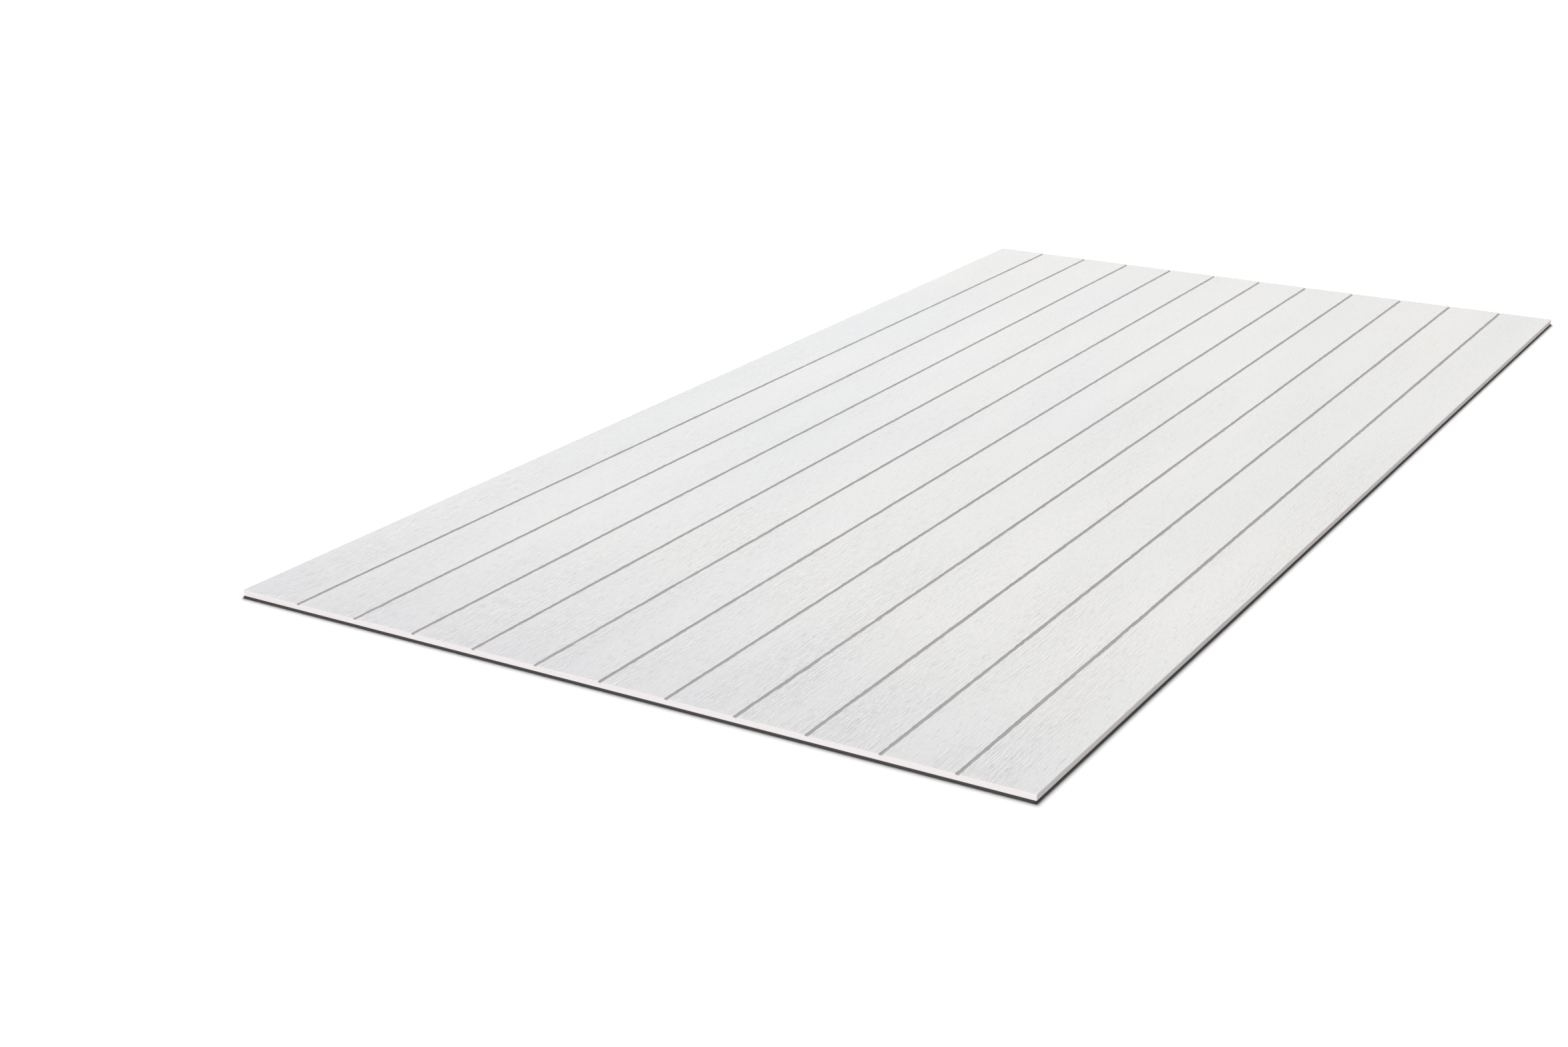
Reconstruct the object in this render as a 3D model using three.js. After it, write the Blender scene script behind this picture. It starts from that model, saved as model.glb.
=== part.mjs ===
// Grooved plywood siding panel, 4 ft by 8 ft, lying on its back with its face up.
//
// Units are millimetres. +Z points out of the grooved face, +Y runs along the grooves, and the
// origin is the middle of the back face.
//
// Five veneers of equal thickness are glued up with their grain crossed. Eleven flat-bottomed
// grooves are routed right through the face veneer and slightly into the veneer below it, so
// the face veneer is left as twelve separate strips. The back veneer is one sheet, whose knot
// holes are cut out and filled with boat-shaped patches.

import * as THREE from "three";

// ---------- driving dimensions ----------

const INCH = 25.4;
const PANEL_WIDTH = 48 * INCH;
const PANEL_LENGTH = 96 * INCH;
const PLY = 1.75; // every veneer's thickness
const VENEER_GAP = 0.5; // between two sheets laid edge to edge in one ply

const STRIP_COUNT = 12;
const GROOVE_WIDTH = 5.6; // across the top
const GROOVE_FLOOR_WIDTH = 4.2; // the sides lean outwards
const GROOVE_DEPTH = 2;
const ARRIS = 0.5; // sanded edge along both sides of every strip

const UPPER_CROSSBAND_JOINT_Y = 152;
const LOWER_CROSSBAND_JOINT_Y = -228;
const CORE_JOINT_X = -76;

const PATCH_LENGTH = 114;
const PATCH_WIDTH = 38;
const PATCH_GAP = 0.3; // all round a patch
const PATCH_CENTRES = [
  [-415, -790],
  [262, -905],
  [438, 118],
  [-352, 486],
  [156, 862],
];
const ARC_STEPS = 12;

// ---------- heights above the back face, and half sizes ----------

const BACK_TOP = PLY;
const LOWER_CROSSBAND_TOP = 2 * PLY;
const CORE_TOP = 3 * PLY;
const UPPER_CROSSBAND_TOP = 4 * PLY;
const FACE_TOP = 5 * PLY;
const GROOVE_FLOOR = FACE_TOP - GROOVE_DEPTH;

const HALF_WIDTH = PANEL_WIDTH / 2;
const HALF_LENGTH = PANEL_LENGTH / 2;
const STRIP_PITCH = PANEL_WIDTH / STRIP_COUNT;

// ---------- materials ----------

function finish(color, roughness) {
  return new THREE.MeshStandardMaterial({ color, roughness, metalness: 0 });
}

const facePrimer = finish(0xe4e5e4, 0.55);
const groovePrimer = finish(0xafadad, 0.7);
const edgeSealer = finish(0xf3eded, 0.65);
const backVeneer = finish(0xcfae80, 0.8);
const patchVeneer = finish(0xddc095, 0.8);

// ---------- helpers ----------

const panel = new THREE.Group();

function addMesh(name, geometry, material) {
  const mesh = new THREE.Mesh(geometry, material);
  mesh.name = name;
  panel.add(mesh);
  return mesh;
}

function point(x, y) {
  return new THREE.Vector2(x, y);
}

function rectangle(left, right, front, rear) {
  return new THREE.Shape([
    point(left, front),
    point(right, front),
    point(right, rear),
    point(left, rear),
  ]);
}

// One veneer, drawn in plan, with its underside at a height above the back face.
function addVeneer(name, plan, bottom, material) {
  const geometry = new THREE.ExtrudeGeometry(plan, {
    depth: PLY,
    bevelEnabled: false,
    curveSegments: ARC_STEPS,
  });
  const mesh = addMesh(name, geometry, material);
  mesh.position.z = bottom;
}

// One piece with the same section all the way, drawn in X and Z, from its front to its rear.
function addAlongGrooves(name, section, front, rear, material) {
  const geometry = new THREE.ExtrudeGeometry(section, {
    depth: rear - front,
    bevelEnabled: false,
  });
  const mesh = addMesh(name, geometry, material);
  mesh.rotation.x = Math.PI / 2;
  mesh.position.y = rear;
}

function stripEdge(index) {
  return -HALF_WIDTH + index * STRIP_PITCH;
}

function grooveHalfWidth(height) {
  const risen = (height - GROOVE_FLOOR) / GROOVE_DEPTH;
  return (GROOVE_FLOOR_WIDTH + (GROOVE_WIDTH - GROOVE_FLOOR_WIDTH) * risen) / 2;
}

// ---------- face veneer: twelve strips ----------

function faceStripSection(index) {
  const hasLeftGroove = index > 0;
  const hasRightGroove = index < STRIP_COUNT - 1;
  const left = (height) => stripEdge(index) + (hasLeftGroove ? grooveHalfWidth(height) : 0);
  const right = (height) => stripEdge(index + 1) - (hasRightGroove ? grooveHalfWidth(height) : 0);
  const shoulder = FACE_TOP - ARRIS;
  return new THREE.Shape([
    point(left(UPPER_CROSSBAND_TOP), UPPER_CROSSBAND_TOP),
    point(right(UPPER_CROSSBAND_TOP), UPPER_CROSSBAND_TOP),
    point(right(shoulder), shoulder),
    point(right(FACE_TOP) - ARRIS, FACE_TOP),
    point(left(FACE_TOP) + ARRIS, FACE_TOP),
    point(left(shoulder), shoulder),
  ]);
}

function addFaceStrips() {
  for (let i = 0; i < STRIP_COUNT; i++) {
    const name = `face_strip_${String(i + 1).padStart(2, "0")}`;
    addAlongGrooves(name, faceStripSection(i), -HALF_LENGTH, HALF_LENGTH, facePrimer);
  }
}

// ---------- upper crossband: two sheets, with the floor of every groove cut into them ----------

function upperCrossbandSection() {
  const topHalf = grooveHalfWidth(UPPER_CROSSBAND_TOP);
  const floorHalf = grooveHalfWidth(GROOVE_FLOOR);
  const outline = [
    point(-HALF_WIDTH, CORE_TOP),
    point(HALF_WIDTH, CORE_TOP),
    point(HALF_WIDTH, UPPER_CROSSBAND_TOP),
  ];
  for (let i = STRIP_COUNT - 1; i > 0; i--) {
    const x = stripEdge(i);
    outline.push(point(x + topHalf, UPPER_CROSSBAND_TOP));
    outline.push(point(x + floorHalf, GROOVE_FLOOR));
    outline.push(point(x - floorHalf, GROOVE_FLOOR));
    outline.push(point(x - topHalf, UPPER_CROSSBAND_TOP));
  }
  outline.push(point(-HALF_WIDTH, UPPER_CROSSBAND_TOP));
  return new THREE.Shape(outline);
}

function addUpperCrossband() {
  const section = upperCrossbandSection();
  const frontEnd = UPPER_CROSSBAND_JOINT_Y - VENEER_GAP / 2;
  const rearStart = UPPER_CROSSBAND_JOINT_Y + VENEER_GAP / 2;
  addAlongGrooves("upper_crossband_front", section, -HALF_LENGTH, frontEnd, groovePrimer);
  addAlongGrooves("upper_crossband_rear", section, rearStart, HALF_LENGTH, groovePrimer);
}

// ---------- core: two sheets side by side ----------

function addCore() {
  const leftEnd = CORE_JOINT_X - VENEER_GAP / 2;
  const rightStart = CORE_JOINT_X + VENEER_GAP / 2;
  const left = rectangle(-HALF_WIDTH, leftEnd, -HALF_LENGTH, HALF_LENGTH);
  const right = rectangle(rightStart, HALF_WIDTH, -HALF_LENGTH, HALF_LENGTH);
  addVeneer("core_veneer_left", left, LOWER_CROSSBAND_TOP, edgeSealer);
  addVeneer("core_veneer_right", right, LOWER_CROSSBAND_TOP, edgeSealer);
}

// ---------- lower crossband: two sheets end to end ----------

function addLowerCrossband() {
  const frontEnd = LOWER_CROSSBAND_JOINT_Y - VENEER_GAP / 2;
  const rearStart = LOWER_CROSSBAND_JOINT_Y + VENEER_GAP / 2;
  const front = rectangle(-HALF_WIDTH, HALF_WIDTH, -HALF_LENGTH, frontEnd);
  const rear = rectangle(-HALF_WIDTH, HALF_WIDTH, rearStart, HALF_LENGTH);
  addVeneer("lower_crossband_front", front, BACK_TOP, edgeSealer);
  addVeneer("lower_crossband_rear", rear, BACK_TOP, edgeSealer);
}

// ---------- back veneer and its boat-shaped patches ----------

// Two equal arcs that meet in a point at each end, both moved outwards by a margin.
function drawBoat(path, x, y, margin) {
  const patchRadius = (PATCH_LENGTH ** 2 + PATCH_WIDTH ** 2) / (4 * PATCH_WIDTH);
  const arcOffset = patchRadius - PATCH_WIDTH / 2;
  const radius = patchRadius + margin;
  const halfAngle = Math.acos(arcOffset / radius);
  path.absarc(x - arcOffset, y, radius, -halfAngle, halfAngle, false);
  path.absarc(x + arcOffset, y, radius, Math.PI - halfAngle, Math.PI + halfAngle, false);
  return path;
}

function addBackVeneer() {
  const plan = rectangle(-HALF_WIDTH, HALF_WIDTH, -HALF_LENGTH, HALF_LENGTH);
  for (const [x, y] of PATCH_CENTRES) {
    plan.holes.push(drawBoat(new THREE.Path(), x, y, PATCH_GAP));
  }
  addVeneer("back_veneer", plan, 0, backVeneer);
}

function addBackPatches() {
  PATCH_CENTRES.forEach(([x, y], i) => {
    addVeneer(`back_patch_${i + 1}`, drawBoat(new THREE.Shape(), x, y, 0), 0, patchVeneer);
  });
}

addFaceStrips();
addUpperCrossband();
addCore();
addLowerCrossband();
addBackVeneer();
addBackPatches();

export default panel;
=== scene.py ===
"""A primed plywood siding panel with eleven grooves, lying face up on a pale floor.

Lengths are in metres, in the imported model's frame: +X across the panel, +Y along its grooves and
+Z out of its grooved face, from the middle of the back face.
"""

import math

import bmesh
import bpy
import numpy as np
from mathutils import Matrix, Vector


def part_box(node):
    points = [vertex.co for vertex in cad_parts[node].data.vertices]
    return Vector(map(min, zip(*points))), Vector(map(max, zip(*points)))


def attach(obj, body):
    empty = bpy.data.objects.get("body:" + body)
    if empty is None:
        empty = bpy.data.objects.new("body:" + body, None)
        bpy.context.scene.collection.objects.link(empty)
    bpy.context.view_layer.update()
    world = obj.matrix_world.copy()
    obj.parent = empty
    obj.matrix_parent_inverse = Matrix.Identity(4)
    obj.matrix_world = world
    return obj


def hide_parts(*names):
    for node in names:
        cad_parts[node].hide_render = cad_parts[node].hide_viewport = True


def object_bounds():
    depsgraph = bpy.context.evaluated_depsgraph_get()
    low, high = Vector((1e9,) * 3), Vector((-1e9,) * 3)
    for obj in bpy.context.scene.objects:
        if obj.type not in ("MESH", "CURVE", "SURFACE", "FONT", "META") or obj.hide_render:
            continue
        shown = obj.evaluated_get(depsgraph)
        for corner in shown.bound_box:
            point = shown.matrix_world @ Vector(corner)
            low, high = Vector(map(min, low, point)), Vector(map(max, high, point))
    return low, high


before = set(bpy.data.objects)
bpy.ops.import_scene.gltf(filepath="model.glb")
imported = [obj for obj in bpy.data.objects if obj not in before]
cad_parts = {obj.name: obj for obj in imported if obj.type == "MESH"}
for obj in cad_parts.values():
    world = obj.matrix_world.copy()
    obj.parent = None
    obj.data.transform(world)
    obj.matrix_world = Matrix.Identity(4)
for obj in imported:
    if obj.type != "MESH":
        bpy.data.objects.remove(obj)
cad_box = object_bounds()

MM = 0.001
BODY = "root"
SEED = 1931

# ---------- places read from the frame ----------

LOW, HIGH = cad_box
FACE_TOP = HIGH.z
STRIP_NODES = sorted(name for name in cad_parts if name.startswith("face_strip_"))
CROSSBAND_NODES = ("upper_crossband_front", "upper_crossband_rear")
PLATE_NODES = (
    "core_veneer_left",
    "core_veneer_right",
    "lower_crossband_front",
    "lower_crossband_rear",
)
PATCH_NODES = sorted(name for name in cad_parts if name.startswith("back_patch_"))
WALL_LEAN = 0.35  # a groove wall moves this far outwards for each unit it rises

# ---------- the grain's grid, finer across the fibres than along them ----------

CREASE_DEPTH = "crease_depth"  # the name of a mesh attribute, in millimetres
STEP_ACROSS = 0.48 * MM
STEP_ALONG = 5.5 * MM
GRID = (
    round((HIGH.x - LOW.x) / STEP_ACROSS) + 1,
    round((HIGH.y - LOW.y) / STEP_ALONG) + 1,
)

# ---------- camera ----------

CAMERA_TARGET = Vector((-0.1115, -0.5777, 0))
CAMERA_DISTANCE = 3.432
CAMERA_AZIMUTH = math.radians(30.97)
CAMERA_ELEVATION = math.radians(20.09)
CAMERA_LENS = 51.68  # the lens and the width of the sensor are in millimetres
CAMERA_SENSOR = 36


def direction(azimuth, elevation):
    """The way to look from a place at that azimuth and elevation, towards the object."""
    flat = math.cos(elevation)
    return Vector((-math.sin(azimuth) * flat, math.cos(azimuth) * flat, -math.sin(elevation)))


def add_camera():
    data = bpy.data.cameras.new("camera")
    data.lens = CAMERA_LENS
    data.sensor_width = CAMERA_SENSOR
    camera = bpy.data.objects.new("camera", data)
    bpy.context.scene.collection.objects.link(camera)
    forward = direction(CAMERA_AZIMUTH, CAMERA_ELEVATION)
    camera.location = CAMERA_TARGET - forward * CAMERA_DISTANCE
    camera.rotation_mode = "QUATERNION"
    camera.rotation_quaternion = forward.to_track_quat("-Z", "Y")
    bpy.context.scene.camera = camera


# ---------- floor, lights and background ----------

WHITE = (1, 1, 1)
FLOOR_SIZE = 60
FLOOR_GAP = 0.3 * MM
FLOOR_ALBEDO = 0.2
AMBIENT = 0.12
BACKDROP = 1.1

# A distant light stands at an azimuth and an elevation, in degrees. Azimuth 0 is in front of the
# panel, 90 is on its right and 180 is behind it. Its spread is its apparent width in degrees.
FLOOR_KEY = (211, 28.4)
FLOOR_KEY_SPREAD = 29
FLOOR_KEY_RADIANCE = 1.08  # from the floor, just past white
PANEL_KEY = (149, 50)
PANEL_KEY_SPREAD = 12
PANEL_KEY_RADIANCE = 0.79  # from a level surface that reflects everything
PANEL_KEY_COLOUR = (1, 0.985, 0.955)
FRONT_FILL = (2, 4)
FRONT_FILL_SPREAD = 6
FRONT_FILL_STRENGTH = 2.75

# The place, size, power in watts and colour of each softbox.
SOFTBOXES = {
    "rear_softbox": ((-0.55, 1.0, 2.2), 2.0, 9, (1, 1, 0.99)),
    "cool_left_softbox": ((-1.0, 0.1, 1.5), 1.2, 1.5, (0.05, 0.4, 1)),
}


def add_sun(name, azimuth, elevation, strength, spread, colour):
    """A soft distant light."""
    data = bpy.data.lights.new(name, "SUN")
    data.energy = strength
    data.angle = math.radians(spread)
    data.color = colour
    light = bpy.data.objects.new(name, data)
    bpy.context.scene.collection.objects.link(light)
    light.rotation_mode = "QUATERNION"
    forward = direction(math.radians(azimuth), math.radians(elevation))
    light.rotation_quaternion = forward.to_track_quat("-Z", "Y")
    return light


def linked_group(name, objects, state):
    """A collection for light linking, with every object in the same state."""
    group = bpy.data.collections.new(name)
    for member in objects:
        group.objects.link(member)
    for entry in group.collection_objects:
        entry.light_linking.link_state = state
    return group


def link_light(light, floor, state):
    """INCLUDE lights the floor and nothing else, and EXCLUDE lights everything but the floor."""
    group = linked_group(light.name + "_receivers", [floor], state)
    light.light_linking.receiver_collection = group


def pass_light_through(light, pieces):
    """These pieces cast no shadow in that light."""
    light.light_linking.blocker_collection = linked_group(light.name + "_blockers", pieces, "EXCLUDE")


def add_floor():
    half = FLOOR_SIZE / 2
    corners = [(-half, -half), (half, -half), (half, half), (-half, half)]
    mesh = bpy.data.meshes.new("floor")
    mesh.from_pydata([(x, y, -FLOOR_GAP) for x, y in corners], [], [(0, 1, 2, 3)])
    floor = bpy.data.objects.new("floor", mesh)
    bpy.context.scene.collection.objects.link(floor)
    material, nodes, links, shader = new_material("floor_white")
    shader.inputs["Base Color"].default_value = (FLOOR_ALBEDO, FLOOR_ALBEDO, FLOOR_ALBEDO, 1)
    shader.inputs["Roughness"].default_value = 1
    shader.inputs["Specular IOR Level"].default_value = 0
    mesh.materials.append(material)
    floor.visible_diffuse = False
    return floor


def add_world():
    """White to the camera, and a faint ambient light to everything else."""
    world = bpy.data.worlds.new("studio")
    bpy.context.scene.world = world
    world.use_nodes = True
    nodes = world.node_tree.nodes
    links = world.node_tree.links
    nodes.clear()
    path = nodes.new("ShaderNodeLightPath")
    ambient = nodes.new("ShaderNodeBackground")
    ambient.inputs["Color"].default_value = (*WHITE, 1)
    ambient.inputs["Strength"].default_value = AMBIENT
    backdrop = nodes.new("ShaderNodeBackground")
    backdrop.inputs["Color"].default_value = (*WHITE, 1)
    backdrop.inputs["Strength"].default_value = BACKDROP
    mix = nodes.new("ShaderNodeMixShader")
    output = nodes.new("ShaderNodeOutputWorld")
    links.new(path.outputs["Is Camera Ray"], mix.inputs["Fac"])
    links.new(ambient.outputs["Background"], mix.inputs[1])
    links.new(backdrop.outputs["Background"], mix.inputs[2])
    links.new(mix.outputs["Shader"], output.inputs["Surface"])


def sun_strength(radiance, albedo, elevation):
    """The sun that gives a level matte surface of that albedo that radiance."""
    return radiance * math.pi / (albedo * math.sin(math.radians(elevation)))


def add_softbox(name, place, size, power, colour):
    """A square light that faces straight down."""
    data = bpy.data.lights.new(name, "AREA")
    data.size = size
    data.energy = power
    data.color = colour
    light = bpy.data.objects.new(name, data)
    light.location = place
    bpy.context.scene.collection.objects.link(light)
    light.visible_glossy = False
    return light


def add_studio(face_strips):
    """The floor's own key light leaves the face strips out, so that the shadow's outline is straight
    past the open ends of the grooves."""
    bpy.context.scene.view_settings.view_transform = "Standard"
    floor = add_floor()
    add_world()
    on_floor = sun_strength(FLOOR_KEY_RADIANCE, FLOOR_ALBEDO, FLOOR_KEY[1])
    floor_key = add_sun("key_on_floor", *FLOOR_KEY, on_floor, FLOOR_KEY_SPREAD, WHITE)
    link_light(floor_key, floor, "INCLUDE")
    pass_light_through(floor_key, face_strips)
    on_panel = sun_strength(PANEL_KEY_RADIANCE, 1, PANEL_KEY[1])
    panel_key = add_sun("key_on_panel", *PANEL_KEY, on_panel, PANEL_KEY_SPREAD, PANEL_KEY_COLOUR)
    panel_key.visible_glossy = False
    fill = add_sun("low_front_fill", *FRONT_FILL, FRONT_FILL_STRENGTH, FRONT_FILL_SPREAD, WHITE)
    softboxes = [add_softbox(name, *values) for name, values in SOFTBOXES.items()]
    for light in (panel_key, fill, *softboxes):
        link_light(light, floor, "EXCLUDE")


# ---------- materials ----------


def new_material(name):
    """A material with its nodes, its links and its shader."""
    material = bpy.data.materials.new(name)
    material.use_nodes = True
    nodes = material.node_tree.nodes
    return material, nodes, material.node_tree.links, nodes["Principled BSDF"]


def stretched_position(nodes, links, scale):
    """Object position multiplied along each axis, for a texture drawn out along the grain."""
    position = nodes.new("ShaderNodeTexCoord")
    mapping = nodes.new("ShaderNodeMapping")
    mapping.inputs["Scale"].default_value = scale
    links.new(position.outputs["Object"], mapping.inputs["Vector"])
    return mapping.outputs["Vector"]


def noise(nodes, links, scale, detail):
    texture = nodes.new("ShaderNodeTexNoise")
    texture.inputs["Scale"].default_value = 1
    texture.inputs["Detail"].default_value = detail
    links.new(stretched_position(nodes, links, scale), texture.inputs["Vector"])
    return texture.outputs["Fac"]


def ramp(nodes, links, value, stops):
    """Colours by value: stops are (position, colour) pairs."""
    node = nodes.new("ShaderNodeValToRGB")
    elements = node.color_ramp.elements
    while len(elements) < len(stops):
        elements.new(1)
    for element, (position, colour) in zip(elements, stops):
        element.position = position
        element.color = (*colour, 1)
    links.new(value, node.inputs["Fac"])
    return node.outputs["Color"]


def multiply_colours(nodes, links, first, second):
    node = nodes.new("ShaderNodeMix")
    node.data_type = "RGBA"
    node.blend_type = "MULTIPLY"
    # A mix node has a set of sockets for each kind of value. These are the ones for colours.
    factor, one, other, result = node.inputs[0], node.inputs[6], node.inputs[7], node.outputs[2]
    factor.default_value = 1
    links.new(first, one)
    links.new(second, other)
    return result


def remap(nodes, links, value, low, high, start=0.0, end=1.0):
    """The range from start to end taken to the range from low to high, and no further."""
    node = nodes.new("ShaderNodeMapRange")
    node.inputs["From Min"].default_value = start
    node.inputs["From Max"].default_value = end
    node.inputs["To Min"].default_value = low
    node.inputs["To Max"].default_value = high
    links.new(value, node.inputs["Value"])
    return node.outputs["Result"]


def add_values(nodes, links, first, second):
    node = nodes.new("ShaderNodeMath")
    node.operation = "ADD"
    links.new(first, node.inputs[0])
    links.new(second, node.inputs[1])
    return node.outputs["Value"]


def add_bump(nodes, links, shader, height, distance):
    node = nodes.new("ShaderNodeBump")
    node.inputs["Distance"].default_value = distance
    links.new(height, node.inputs["Height"])
    links.new(node.outputs["Normal"], shader.inputs["Normal"])


# The crease depth drives painted shade: the face's colour is darkened where the modelled grain has
# creases.
def crease_depth(nodes):
    """How far each point of the modelled grain lies below the wood beside it, in millimetres."""
    depth = nodes.new("ShaderNodeAttribute")
    depth.attribute_name = CREASE_DEPTH
    return depth.outputs["Fac"]


def from_front_end(nodes, links, reach):
    """0 at the panel's front end, and 1 from that distance on, in metres."""
    position = nodes.new("ShaderNodeTexCoord")
    parts = nodes.new("ShaderNodeSeparateXYZ")
    links.new(position.outputs["Object"], parts.inputs["Vector"])
    return remap(nodes, links, parts.outputs["Y"], 0, 1, LOW.y, LOW.y + reach)


# Painted shade: creases in the grain are darkened in the face's colour, in full from this depth on.
CREASE_FULL = 0.35  # the crease depth in millimetres that is shaded in full
# The nicks are painted shade: small dark dashes in the face's colour, in place of the shaded pits of
# the grain.
DASH_SHADE_RARER_BY = 0.08  # how far the nicks' noise is lifted at the rear end, so that fewer show

# Painted shade: the face's colour is made darkest and coolest at the front end, and lightest about
# half a metre from it, in place of the light falling off towards the front.
FRONT_SHADE_REACH = 1
PAINTED_FRONT_SHADE = [
    (0, (0.936, 0.94, 0.964)),
    (0.2, (0.972, 0.974, 0.984)),
    (0.42, WHITE),
    (0.62, WHITE),
    (1, (0.977, 0.978, 0.975)),
]


def primed_face():
    material, nodes, links, shader = new_material("primed_face")
    cloud = noise(nodes, links, (5, 1.5, 1), 2)
    tint = ramp(nodes, links, cloud, [(0.3, (0.872, 0.876, 0.884)), (0.7, (0.9, 0.897, 0.893))])
    # Painted shade towards the front end, in place of the light falling off there.
    shade = ramp(nodes, links, from_front_end(nodes, links, FRONT_SHADE_REACH), PAINTED_FRONT_SHADE)
    shaded = multiply_colours(nodes, links, tint, shade)
    # Painted shade in the creases of the grain, darker for deeper creases.
    dark = (0.78, 0.77, 0.775)
    crease = ramp(nodes, links, crease_depth(nodes), [(0, WHITE), (CREASE_FULL, dark)])
    colour = multiply_colours(nodes, links, shaded, crease)
    fibres = noise(nodes, links, (700, 60, 1), 2)
    streak = ramp(nodes, links, fibres, [(0.35, (0.97, 0.97, 0.97)), (0.55, WHITE)])
    streaked = multiply_colours(nodes, links, colour, streak)
    # Painted shade: small dark dashes in the face's colour, in place of the shaded pits of the grain,
    # fewer towards the rear end.
    dash_noise = noise(nodes, links, (900, 36, 1), 1)
    along = from_front_end(nodes, links, HIGH.y - LOW.y)
    rarer = add_values(nodes, links, dash_noise, remap(nodes, links, along, 0, DASH_SHADE_RARER_BY))
    painted_dash_shade = ramp(nodes, links, rarer, [(0.25, (0.66, 0.65, 0.66)), (0.35, WHITE)])
    links.new(multiply_colours(nodes, links, streaked, painted_dash_shade), shader.inputs["Base Color"])
    links.new(remap(nodes, links, fibres, 0.7, 0.5), shader.inputs["Roughness"])
    shader.inputs["Specular IOR Level"].default_value = 0.4
    add_bump(nodes, links, shader, fibres, 0.8 * MM)
    return material


# Painted shade: the grooves are given a grey far darker than the face's primer, standing in for the
# shade that falls in them.
def groove_primer():
    material, nodes, links, shader = new_material("groove_primer")
    mottle = noise(nodes, links, (90, 25, 90), 3)
    grey = [(0.3, (0.368, 0.358, 0.364)), (0.7, (0.399, 0.388, 0.394))]
    links.new(ramp(nodes, links, mottle, grey), shader.inputs["Base Color"])
    links.new(remap(nodes, links, mottle, 0.6, 0.8), shader.inputs["Roughness"])
    shader.inputs["Specular IOR Level"].default_value = 0.3
    cutter = noise(nodes, links, (150, 700, 150), 2)
    add_bump(nodes, links, shader, cutter, 0.04 * MM)
    return material


def sealed_edge():
    material, nodes, links, shader = new_material("sealed_edge")
    mottle = noise(nodes, links, (60, 60, 400), 3)
    cream = [(0.3, (0.89, 0.845, 0.845)), (0.7, (0.915, 0.868, 0.865))]
    links.new(ramp(nodes, links, mottle, cream), shader.inputs["Base Color"])
    links.new(remap(nodes, links, mottle, 0.6, 0.75), shader.inputs["Roughness"])
    shader.inputs["Specular IOR Level"].default_value = 0.3
    fibres = noise(nodes, links, (500, 500, 900), 2)
    add_bump(nodes, links, shader, fibres, 0.05 * MM)
    return material


RING_COUNT = 26  # over the whole range of the wander
RING_FOLD = 0.5  # each ring runs from 0 up to this and back


def bare_veneer(name, early, late, shift):
    """Rotary-cut softwood: wandering growth rings drawn out along the grain."""
    material, nodes, links, shader = new_material(name)
    wander = noise(nodes, links, (2.4 + shift, 0.4, 1), 2)
    rings = nodes.new("ShaderNodeMath")
    rings.operation = "PINGPONG"
    rings.inputs[1].default_value = RING_FOLD
    links.new(remap(nodes, links, wander, 0, RING_COUNT), rings.inputs[0])
    bands = remap(nodes, links, rings.outputs["Value"], 0, 1, 0, RING_FOLD)
    base = ramp(nodes, links, bands, [(0.25, early), (0.9, late)])
    fibres = noise(nodes, links, (700, 12, 1), 3)
    streak = ramp(nodes, links, fibres, [(0.3, (0.8, 0.78, 0.75)), (0.7, WHITE)])
    colour = multiply_colours(nodes, links, base, streak)
    links.new(colour, shader.inputs["Base Color"])
    links.new(remap(nodes, links, bands, 0.85, 0.7), shader.inputs["Roughness"])
    shader.inputs["Specular IOR Level"].default_value = 0.25
    add_bump(nodes, links, shader, fibres, 0.1 * MM)
    return material


# ---------- the grain relief of the face ----------

# How much of each layer of fibres, and how far its bumps reach across and along the grain.
FIBRE_LAYERS = (
    (0.7, 0.27 * MM, 3.5 * MM),
    (0.6, 0.3 * MM, 9 * MM),
    (0.55, 0.35 * MM, 24 * MM),
)
FIBRE_SPAN = (-2, 3)  # the layers' sum is cut off here
FIBRE_DEPTH = 0.075  # millimetres for each unit of the sum

# Zones make the grain rougher in some places than in others.
ZONE_REACH = (20 * MM, 120 * MM)
ZONE_MEAN = 0.78
ZONE_SWING = 0.5
ZONE_LIMITS = (0.2, 1.9)
FRONT_ROUGHNESS = 2.0
REAR_ROUGHNESS = 0.42

# Checks are the few deeper slits in the wood.
CHECK_REACH = (0.36 * MM, 12 * MM)
CHECK_START = 1.7
CHECK_RAMP = 1.2
CHECK_DEPTH = 0.42  # millimetres

DEEPEST = 1  # millimetre
CREASE_SPAN = 2  # grid steps


def drawn_noise(rng, across, along):
    """Smooth random heights over the whole face, with no mean and unit spread.
    Across and along are how far a bump reaches each way, in metres."""
    field = np.fft.rfft2(rng.standard_normal(GRID))
    by_x = np.fft.fftfreq(GRID[0], STEP_ACROSS)[:, None]
    by_y = np.fft.rfftfreq(GRID[1], STEP_ALONG)[None, :]
    gain = np.exp(-2 * math.pi**2 * ((across * by_x) ** 2 + (along * by_y) ** 2))
    field = np.fft.irfft2(field * gain, GRID)
    return (field - field.mean()) / field.std()


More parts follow.
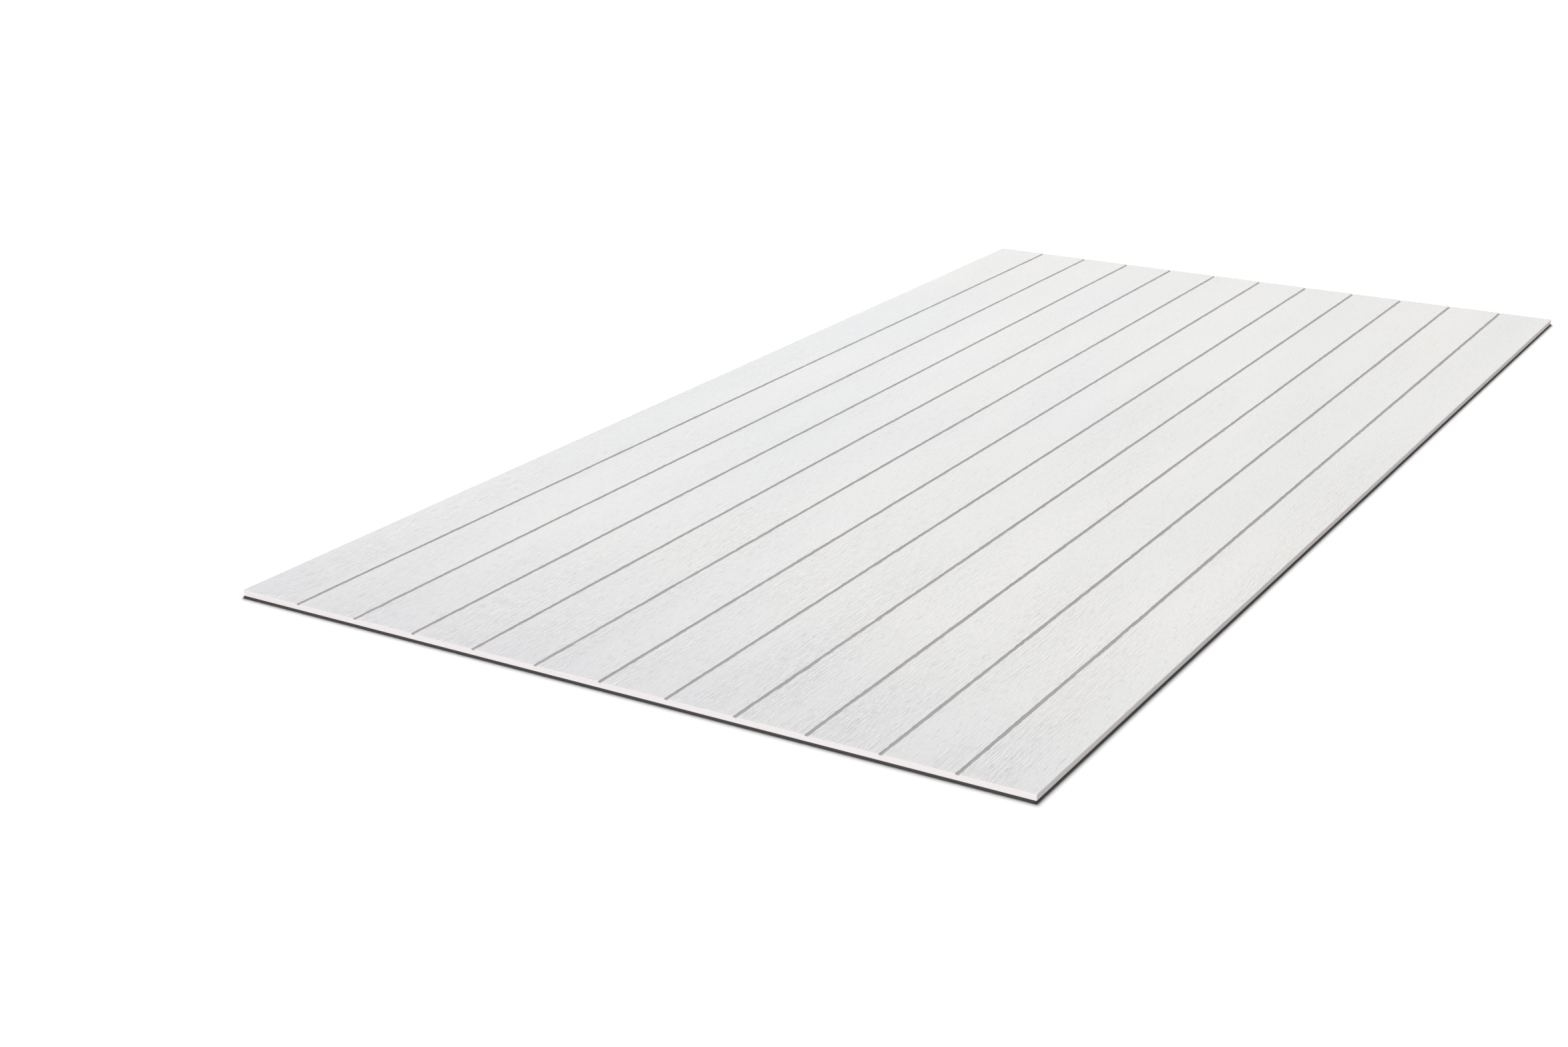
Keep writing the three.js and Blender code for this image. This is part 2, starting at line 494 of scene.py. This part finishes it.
def face_relief():
    """How far the brushed grain lies below the face plane, at each point of the grid."""
    rng = np.random.default_rng(SEED)
    fibres = sum(weight * drawn_noise(rng, *reach) for weight, *reach in FIBRE_LAYERS)
    zones = drawn_noise(rng, *ZONE_REACH)
    checks = drawn_noise(rng, *CHECK_REACH)
    fade = np.geomspace(FRONT_ROUGHNESS, REAR_ROUGHNESS, GRID[1])[None, :]
    rough = np.clip(ZONE_MEAN + ZONE_SWING * zones, *ZONE_LIMITS) * fade
    depth = FIBRE_DEPTH * rough * (np.clip(fibres, *FIBRE_SPAN) - FIBRE_SPAN[0])
    depth += CHECK_DEPTH * rough * np.clip((checks - CHECK_START) / CHECK_RAMP, 0, 1)
    return np.clip(depth - depth.min(), 0, DEEPEST) * MM


def creases(relief):
    """How far each grid point lies below the mean of the points a few steps to either side."""
    beside = (np.roll(relief, CREASE_SPAN, axis=0) + np.roll(relief, -CREASE_SPAN, axis=0)) / 2
    return np.clip(relief - beside, 0, None)


def sample(field, x, y):
    """The field at points of the face, by straight lines between its grid points."""
    end = 1.001  # keeps the next grid point within the field
    u = np.clip((x - LOW.x) / STEP_ACROSS, 0, GRID[0] - end)
    v = np.clip((y - LOW.y) / STEP_ALONG, 0, GRID[1] - end)
    i, j = u.astype(int), v.astype(int)
    s, t = u - i, v - j
    near = field[i, j] * (1 - s) + field[i + 1, j] * s
    far = field[i, j + 1] * (1 - s) + field[i + 1, j + 1] * s
    return near * (1 - t) + far * t


# ---------- meshes ----------

SMOOTH_BELOW = math.radians(40)


def add_piece(name, vertices, faces, materials, slots):
    """A piece that rides on the panel. Slots is the material slot of each face."""
    mesh = bpy.data.meshes.new(name)
    mesh.from_pydata(vertices, [], faces)
    for material in materials:
        mesh.materials.append(material)
    mesh.polygons.foreach_set("material_index", slots)
    mesh.polygons.foreach_set("use_smooth", [True] * len(faces))
    mesh.set_sharp_from_angle(angle=SMOOTH_BELOW)
    mesh.validate()
    mesh.update()
    piece = bpy.data.objects.new(name, mesh)
    bpy.context.scene.collection.objects.link(piece)
    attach(piece, BODY)
    return piece


def swept(sections):
    """Vertices and faces of a closed body through sections, each a closed loop of points that
    runs anticlockwise as seen from the front. Sections has shape (stations, points, 3)."""
    stations, points = sections.shape[:2]
    index = np.arange(stations * points).reshape(stations, points)
    after = np.roll(index, -1, axis=1)
    sides = np.stack([index[:-1], index[1:], after[1:], after[:-1]], axis=-1).reshape(-1, 4)
    faces = [index[0].tolist(), index[-1, ::-1].tolist(), *sides.tolist()]
    return sections.reshape(-1, 3).tolist(), faces


# ---------- the face strips ----------

END_EASE = ((0, 0.15), (0.15, 0))  # (distance from the end, drop) in millimetres
ARRIS_TURN = ((0, 0.5), (0.15, 0.15), (0.5, 0))  # (inwards, drop) in millimetres, wall to face
WALL_WANDER = ((0.5, 0.27 * MM), (5, 0.06 * MM))  # (reach in grid steps, size)
PRIMED, GROOVE, EDGE = range(3)  # the slots of a strip's materials


def stations_along():
    """Places along the length, with two close together where each end is eased, and their drop."""
    inner = np.linspace(LOW.y, HIGH.y, GRID[1])[1:-1]
    ease = np.array(END_EASE) * MM
    y = np.concatenate([LOW.y + ease[:, 0], inner, HIGH.y - ease[::-1, 0]])
    drop = np.concatenate([ease[:, 1], np.zeros(len(inner)), ease[::-1, 1]])
    return y, drop


def wobble(rng, count, reach, size):
    """A line that wanders by about size, smoothly over reach samples."""
    steps = np.arange(-math.ceil(3 * reach), math.ceil(3 * reach) + 1)
    window = np.exp(-0.5 * (steps / reach) ** 2)
    line = np.convolve(rng.standard_normal(count + len(steps)), window, "same")[:count]
    return line / line.std() * size


def strip_side(corner, inwards, is_grooved, rise, stations, rng):
    """One side of a strip from its foot over its arris: rows of x and height, at each station."""
    lean = WALL_LEAN if is_grooved else 0
    wander = np.zeros(stations)
    if is_grooved:
        wander = sum(wobble(rng, stations, reach, size) for reach, size in WALL_WANDER)
    side = [(np.full(stations, corner), np.zeros(stations))]
    for inset, fall in ARRIS_TURN:
        x = corner + inwards * (lean * rise + inset * MM) + wander
        side.append((x, np.full(stations, rise - fall * MM)))
    return side


def strip_loop(left, right, rise):
    """The strip's section as a closed loop, anticlockwise from the foot of its left side."""
    left_end, right_end = left[-1][0], right[-1][0]
    count = round((right_end.mean() - left_end.mean()) / STEP_ACROSS)
    top = []
    for share in np.linspace(1, 0, count + 1)[1:-1]:
        top.append((left_end + (right_end - left_end) * share, np.full(len(left_end), rise)))
    loop = [left[0], *right, *top, *left[:0:-1]]
    return np.stack([x for x, _ in loop], axis=1), np.stack([height for _, height in loop], axis=1)


def strip_materials(grooved, points, stations):
    """The material slot of each face: the two ends, then the sides station by station."""
    around = np.full(points, PRIMED)
    around[1] = GROOVE if grooved[1] else EDGE
    around[-1] = GROOVE if grooved[0] else EDGE
    return np.concatenate([[EDGE, EDGE], np.tile(around, stations - 1)])


def face_strip(number, name, relief, crease, materials):
    low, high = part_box(name)
    rng = np.random.default_rng(SEED + number)
    y, drop = stations_along()
    grooved = (number > 0, number < len(STRIP_NODES) - 1)
    rise = FACE_TOP - low.z
    left = strip_side(low.x, 1, grooved[0], rise, len(y), rng)
    right = strip_side(high.x, -1, grooved[1], rise, len(y), rng)
    x, height = strip_loop(left, right, rise)
    y_all = np.broadcast_to(y[:, None], x.shape)
    on_face = height > 0
    lowered = height - sample(relief, x, y_all) - drop[:, None]
    z = low.z + np.where(on_face, lowered, height)
    vertices, faces = swept(np.stack([x, y_all, z], axis=-1))
    slots = strip_materials(grooved, x.shape[1], len(y))
    piece = add_piece(name.replace("face", "primed"), vertices, faces, materials, slots)
    # The crease depth at each point, which the face's material turns into painted shade.
    shade = np.where(on_face, sample(crease, x, y_all), 0)
    attribute = piece.data.attributes.new(CREASE_DEPTH, "FLOAT", "POINT")
    attribute.data.foreach_set("value", (shade / MM).ravel())
    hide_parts(name)
    return piece


def add_face_strips(primed, groove, edge):
    relief = face_relief()
    crease = creases(relief)
    finishes = (primed, groove, edge)
    return [face_strip(i, name, relief, crease, finishes) for i, name in enumerate(STRIP_NODES)]


# ---------- the other veneers ----------

VENEER_EASE = 0.03 * MM
WELD_DISTANCE = 0.01 * MM
FLAT_WITHIN = math.radians(1)
SHARP_ABOVE = math.radians(50)


def on_rim(place):
    """Whether a point lies on the panel's edges or ends, or on their eased corners."""
    from_side = min(place.x - LOW.x, HIGH.x - place.x)
    from_end = min(place.y - LOW.y, HIGH.y - place.y)
    return from_side < VENEER_EASE or from_end < VENEER_EASE


def eased_veneer(node, finish, edge):
    """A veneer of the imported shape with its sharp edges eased, and its outer rim in edge sealer."""
    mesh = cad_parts[node].data.copy()
    mesh.materials.clear()
    mesh.materials.append(finish)
    mesh.materials.append(edge)
    body = bmesh.new()
    body.from_mesh(mesh)
    bmesh.ops.remove_doubles(body, verts=body.verts, dist=WELD_DISTANCE)
    bmesh.ops.dissolve_limit(body, angle_limit=FLAT_WITHIN, verts=body.verts, edges=body.edges)
    sharp = [e for e in body.edges if e.is_manifold and e.calc_face_angle() > SHARP_ABOVE]
    bmesh.ops.bevel(body, geom=sharp, offset=VENEER_EASE, segments=2, affect="EDGES", profile=0.5)
    for face in body.faces:
        face.material_index = int(on_rim(face.calc_center_median()))
        face.smooth = True
    body.to_mesh(mesh)
    body.free()
    mesh.set_sharp_from_angle(angle=SMOOTH_BELOW)
    piece = bpy.data.objects.new(node + "_eased", mesh)
    bpy.context.scene.collection.objects.link(piece)
    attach(piece, BODY)
    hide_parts(node)


def add_veneers(groove, edge):
    back = bare_veneer("back_veneer", (0.66, 0.47, 0.27), (0.47, 0.27, 0.12), 0)
    patch = bare_veneer("patch_veneer", (0.72, 0.53, 0.32), (0.55, 0.34, 0.16), 1.7)
    # The crossbands form the groove floors, so they carry the grooves' painted shade.
    for node in CROSSBAND_NODES:
        eased_veneer(node, groove, edge)
    for node in PLATE_NODES:
        eased_veneer(node, edge, edge)
    for node in PATCH_NODES:
        eased_veneer(node, patch, patch)
    eased_veneer("back_veneer", back, edge)


add_camera()
# The grooves' grey is painted shade.
groove_shade_material = groove_primer()
edge_finish = sealed_edge()
strips = add_face_strips(primed_face(), groove_shade_material, edge_finish)
add_veneers(groove_shade_material, edge_finish)
add_studio(strips)
